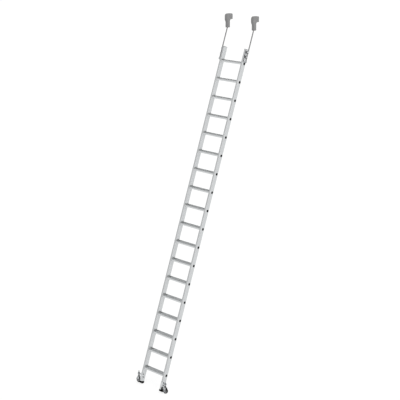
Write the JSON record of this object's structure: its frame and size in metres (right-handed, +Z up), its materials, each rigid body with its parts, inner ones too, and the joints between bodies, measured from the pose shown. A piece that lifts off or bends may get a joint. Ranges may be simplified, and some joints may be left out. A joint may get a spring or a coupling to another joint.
{
  "type": "mobile shelf ladder",
  "caption": "Leaning aluminium shelf ladder with ribbed treads, sprung floor wheels with rubber shoes, and sliding hook rods with rollers that hang on a shelf rail.",
  "frame": {"origin": "on the floor, midway between the two wheels' contact points", "axes": "+Z up, +Y from the climber towards the shelf, +X to the climber's right"},
  "size_m": [0.598, 1.7905, 4.8235],
  "materials": {
    "stile_aluminium": "extruded, mill finish, satin",
    "tread_aluminium": "extruded, ribbed walking surface",
    "zinc_steel": "bright zinc plated",
    "rod_steel": "drawn bar, zinc plated",
    "spring_steel": "oiled spring wire",
    "black_plastic": "moulded, fine grain",
    "dark_plastic": "moulded, fine grain",
    "grey_plastic": "moulded",
    "head_plastic": "moulded, fine grain",
    "roller_plastic": "turned, satin",
    "black_rubber": "matte, moulded",
    "tyre_rubber": "matte, smooth tread"
  },
  "bodies": {
    "ladder": {"tread_01": "tread_aluminium", "tread_02": "tread_aluminium", "tread_03": "tread_aluminium", "tread_04": "tread_aluminium", "tread_05": "tread_aluminium", "tread_06": "tread_aluminium", "tread_07": "tread_aluminium", "tread_08": "tread_aluminium", "tread_09": "tread_aluminium", "tread_10": "tread_aluminium", "tread_11": "tread_aluminium", "tread_12": "tread_aluminium", "tread_13": "tread_aluminium", "tread_14": "tread_aluminium", "tread_15": "tread_aluminium", "tread_16": "tread_aluminium", "tread_17": "tread_aluminium", "tread_18": "tread_aluminium", "left_stile": "stile_aluminium", "left_plugs": "black_plastic", "left_tread_bolts": "zinc_steel", "left_end_cap": "grey_plastic", "left_shoe": "black_rubber", "left_castor_bracket": "zinc_steel", "left_bracket_bolts": "zinc_steel", "left_guide_plate": "stile_aluminium", "left_rod_guide": "dark_plastic", "left_guide_bolts": "zinc_steel", "right_stile": "stile_aluminium", "right_plugs": "black_plastic", "right_tread_bolts": "zinc_steel", "right_end_cap": "grey_plastic", "right_shoe": "black_rubber", "right_castor_bracket": "zinc_steel", "right_bracket_bolts": "zinc_steel", "right_guide_plate": "stile_aluminium", "right_rod_guide": "dark_plastic", "right_guide_bolts": "zinc_steel"},
    "left_castor": {"left_castor_fork": "zinc_steel", "left_castor_spring": "spring_steel", "left_stem_nuts": "zinc_steel", "left_wheel_axle": "zinc_steel"},
    "left_wheel": {"left_wheel_rim": "grey_plastic", "left_tyre": "tyre_rubber"},
    "left_hook_rod": {"left_rod": "rod_steel", "left_rod_collars": "zinc_steel", "left_head": "head_plastic", "left_roller_axle": "zinc_steel"},
    "left_roller": {"left_roller": "roller_plastic"},
    "right_castor": {"right_castor_fork": "zinc_steel", "right_castor_spring": "spring_steel", "right_stem_nuts": "zinc_steel", "right_wheel_axle": "zinc_steel"},
    "right_wheel": {"right_wheel_rim": "grey_plastic", "right_tyre": "tyre_rubber"},
    "right_hook_rod": {"right_rod": "rod_steel", "right_rod_collars": "zinc_steel", "right_head": "head_plastic", "right_roller_axle": "zinc_steel"},
    "right_roller": {"right_roller": "roller_plastic"}
  },
  "joints": [
    {"name": "left_castor_slide", "type": "slide", "parent": "ladder", "child": "left_castor", "axis": [0, 0, 1], "range_m": [0, 0.01], "stiffness_N_per_m": 8000, "springref_m": -0.01, "deforming": ["left_castor_spring"]},
    {"name": "left_wheel_spin", "type": "hinge", "parent": "left_castor", "child": "left_wheel", "pos_m": [-0.259, 0, 0.04], "axis": [0, 1, 0], "continuous": true},
    {"name": "left_hook_slide", "type": "slide", "parent": "ladder", "child": "left_hook_rod", "axis": [0, 0.342, 0.9397], "range_m": [0, 0.044]},
    {"name": "left_roller_spin", "type": "hinge", "parent": "left_hook_rod", "child": "left_roller", "pos_m": [-0.2393, 1.72229, 4.75348], "axis": [0, 1, 0], "continuous": true},
    {"name": "right_castor_slide", "type": "slide", "parent": "ladder", "child": "right_castor", "axis": [0, 0, 1], "range_m": [0, 0.01], "stiffness_N_per_m": 8000, "springref_m": -0.01, "deforming": ["right_castor_spring"]},
    {"name": "right_wheel_spin", "type": "hinge", "parent": "right_castor", "child": "right_wheel", "pos_m": [0.259, 0, 0.04], "axis": [0, 1, 0], "continuous": true},
    {"name": "right_hook_slide", "type": "slide", "parent": "ladder", "child": "right_hook_rod", "axis": [0, 0.342, 0.9397], "range_m": [0, 0.044]},
    {"name": "right_roller_spin", "type": "hinge", "parent": "right_hook_rod", "child": "right_roller", "pos_m": [0.2393, 1.72229, 4.75348], "axis": [0, 1, 0], "continuous": true}
  ]
}
